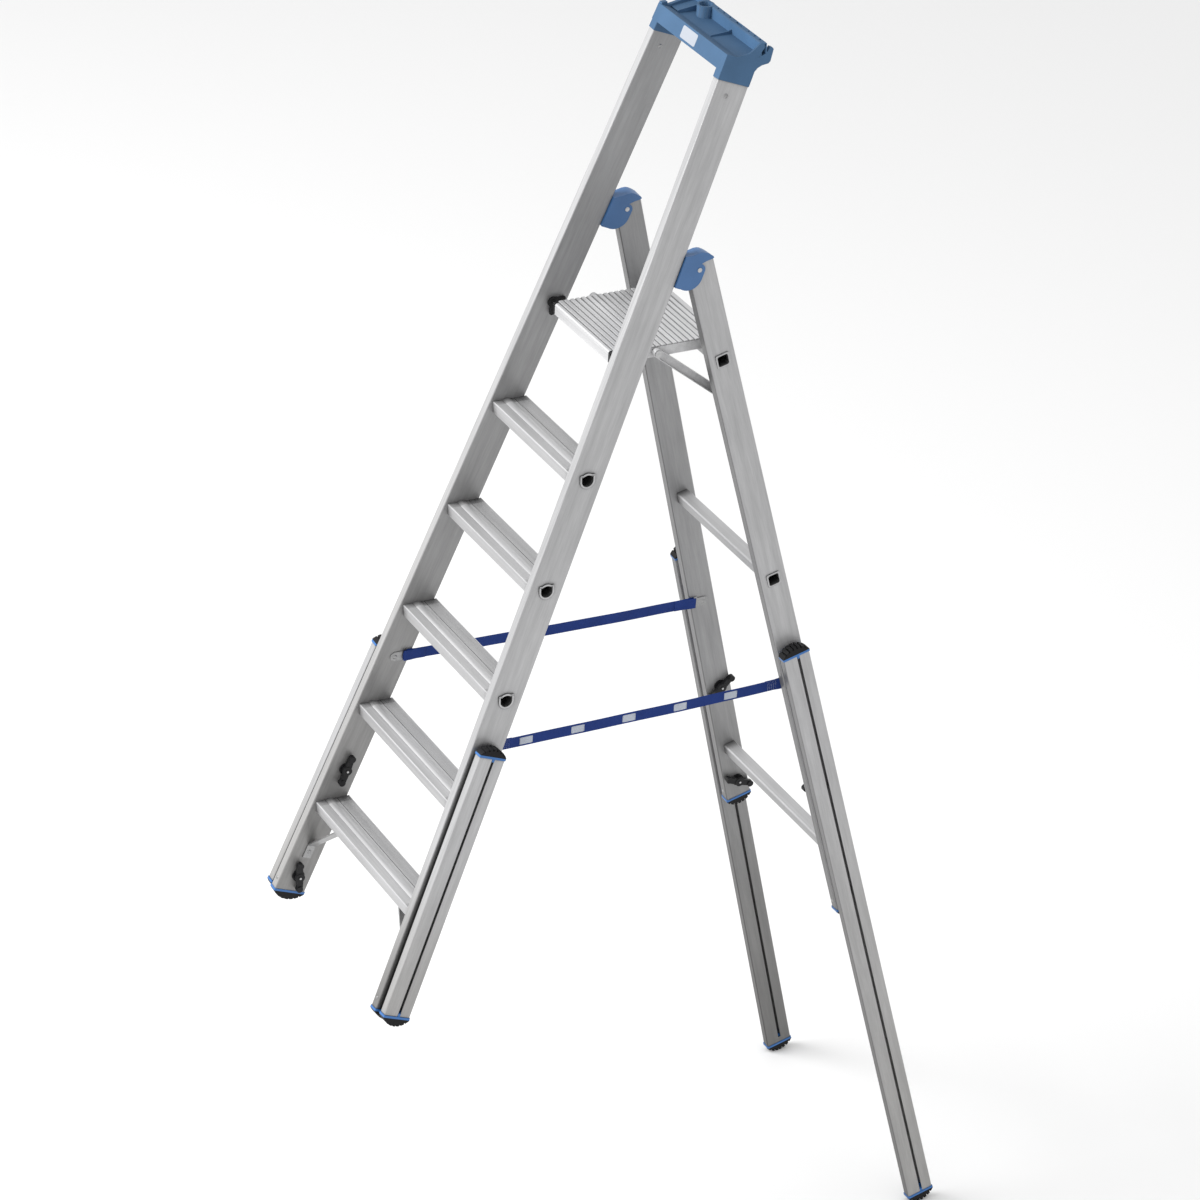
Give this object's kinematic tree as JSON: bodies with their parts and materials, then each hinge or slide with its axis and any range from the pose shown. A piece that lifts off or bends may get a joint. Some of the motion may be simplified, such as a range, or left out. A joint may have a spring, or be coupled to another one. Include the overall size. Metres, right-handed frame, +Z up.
{
  "type": "folding platform stepladder with leg extensions",
  "caption": "Folding four-legged platform stepladder with ribbed treads, sliding leg extensions, spreader straps and a blue tool tray.",
  "frame": {"origin": "centre of the bounding box in plan, at the height of the lowest rear foot", "axes": "+Z up, the climber stands on the -Y side and faces +Y, +X to the right of the climber"},
  "size_m": [0.7002, 1.4085, 2.8676],
  "materials": {
    "aluminium": "mill finish extrusion",
    "steel": "zinc plated",
    "tray_blue": "moulded, fine texture",
    "hinge_blue": "moulded",
    "rim_blue": "moulded",
    "black_plastic": "moulded",
    "rubber": "moulded, ribbed",
    "webbing": "woven"
  },
  "bodies": {
    "front": {"front_stile_left": "aluminium", "front_stile_right": "aluminium", "tread_1": "aluminium", "tread_2": "aluminium", "tread_3": "aluminium", "tread_4": "aluminium", "tread_5": "aluminium", "tray": "tray_blue", "hinge_block_left": "hinge_blue", "hinge_block_right": "hinge_blue", "hinge_pins": "steel", "front_feet": "rubber", "front_foot_rims": "rim_blue", "front_strap_brackets": "steel", "front_rivets": "steel", "tread_braces": "steel", "platform_bolts": "steel", "front_clamp_bolts": "steel", "front_guides": "black_plastic", "strap_left": "webbing", "strap_right": "webbing"},
    "rear": {"rear_stile_left": "aluminium", "rear_stile_right": "aluminium", "cross_bar_top": "aluminium", "cross_bar_middle": "aluminium", "cross_bar_low": "aluminium", "rear_feet": "rubber", "rear_foot_rims": "rim_blue", "rear_strap_brackets": "steel", "rear_rivets": "steel", "strut_pins": "steel", "rear_clamp_bolts": "steel", "rear_guides": "black_plastic", "hinge_bushes": "black_plastic"},
    "platform": {"platform": "aluminium", "platform_clips": "black_plastic"},
    "struts": {"strut_left": "steel", "strut_right": "steel", "strut_pivots": "steel"},
    "extension_front_left": {"slider_front_left": "aluminium", "slider_front_left_rims": "rim_blue", "slider_front_left_rubber": "rubber"},
    "extension_front_right": {"slider_front_right": "aluminium", "slider_front_right_rims": "rim_blue", "slider_front_right_rubber": "rubber"},
    "extension_rear_left": {"slider_rear_left": "aluminium", "slider_rear_left_rims": "rim_blue", "slider_rear_left_rubber": "rubber"},
    "extension_rear_right": {"slider_rear_right": "aluminium", "slider_rear_right_rims": "rim_blue", "slider_rear_right_rubber": "rubber"},
    "knob_front_left_low_body": {"knob_front_left_low": "black_plastic"},
    "knob_front_left_high_body": {"knob_front_left_high": "black_plastic"},
    "knob_front_right_low_body": {"knob_front_right_low": "black_plastic"},
    "knob_front_right_high_body": {"knob_front_right_high": "black_plastic"},
    "knob_rear_left_low_body": {"knob_rear_left_low": "black_plastic"},
    "knob_rear_left_high_body": {"knob_rear_left_high": "black_plastic"},
    "knob_rear_right_low_body": {"knob_rear_right_low": "black_plastic"},
    "knob_rear_right_high_body": {"knob_rear_right_high": "black_plastic"}
  },
  "joints": [
    {"name": "rear_fold", "type": "hinge", "parent": "front", "child": "rear", "pos_m": [0, 0.0305, 2.398], "axis": [-1, 0, 0], "range_deg": [0, 36], "deforming": ["strap_left", "strap_right"]},
    {"name": "platform_fold", "type": "hinge", "parent": "front", "child": "platform", "pos_m": [0, -0.1268, 2.2026], "axis": [1, 0, 0], "range_deg": [0, 74.2]},
    {"name": "strut_fold", "type": "hinge", "parent": "rear", "child": "struts", "pos_m": [0, 0.1208, 2.0821], "axis": [-1, 0, 0], "range_deg": [0, 9.6]},
    {"name": "extend_front_left", "type": "slide", "parent": "front", "child": "extension_front_left", "axis": [-0.0577, -0.36, -0.9311], "range_m": [0, 0.25]},
    {"name": "extend_rear_left", "type": "slide", "parent": "rear", "child": "extension_rear_left", "axis": [-0.0577, 0.2575, -0.9645], "range_m": [-0.815, 0.3]},
    {"name": "extend_front_right", "type": "slide", "parent": "front", "child": "extension_front_right", "axis": [0.0577, -0.36, -0.9311], "range_m": [0, 0.25]},
    {"name": "extend_rear_right", "type": "slide", "parent": "rear", "child": "extension_rear_right", "axis": [0.0577, 0.2575, -0.9645], "range_m": [-0.815, 0.3]},
    {"name": "turn_front_left_low", "type": "hinge", "parent": "front", "child": "knob_front_left_low_body", "pos_m": [-0.24987, -0.64861, 0.85657], "axis": [0.9983, -0.0208, -0.0539], "continuous": true},
    {"name": "turn_front_left_high", "type": "hinge", "parent": "front", "child": "knob_front_left_high_body", "pos_m": [-0.23379, -0.54834, 1.11589], "axis": [0.9983, -0.0208, -0.0539], "continuous": true},
    {"name": "turn_front_right_low", "type": "hinge", "parent": "front", "child": "knob_front_right_low_body", "pos_m": [0.24987, -0.64861, 0.85657], "axis": [-0.9983, -0.0208, -0.0539], "continuous": true},
    {"name": "turn_front_right_high", "type": "hinge", "parent": "front", "child": "knob_front_right_high_body", "pos_m": [0.23379, -0.54834, 1.11589], "axis": [-0.9983, -0.0208, -0.0539], "continuous": true},
    {"name": "turn_rear_left_high", "type": "hinge", "parent": "rear", "child": "knob_rear_left_high_body", "pos_m": [-0.22664, 0.37908, 1.12859], "axis": [0.9983, 0.0149, -0.0558], "continuous": true},
    {"name": "turn_rear_left_low", "type": "hinge", "parent": "rear", "child": "knob_rear_left_low_body", "pos_m": [-0.24295, 0.45183, 0.85611], "axis": [0.9983, 0.0149, -0.0558], "continuous": true},
    {"name": "turn_rear_right_high", "type": "hinge", "parent": "rear", "child": "knob_rear_right_high_body", "pos_m": [0.22664, 0.37908, 1.12859], "axis": [-0.9983, 0.0149, -0.0558], "continuous": true},
    {"name": "turn_rear_right_low", "type": "hinge", "parent": "rear", "child": "knob_rear_right_low_body", "pos_m": [0.24295, 0.45183, 0.85611], "axis": [-0.9983, 0.0149, -0.0558], "continuous": true}
  ],
  "couplings": [
    {"joint": "platform_fold", "follows": "rear_fold", "ratio": 2.06},
    {"joint": "strut_fold", "follows": "rear_fold", "ratio": 0.264}
  ]
}
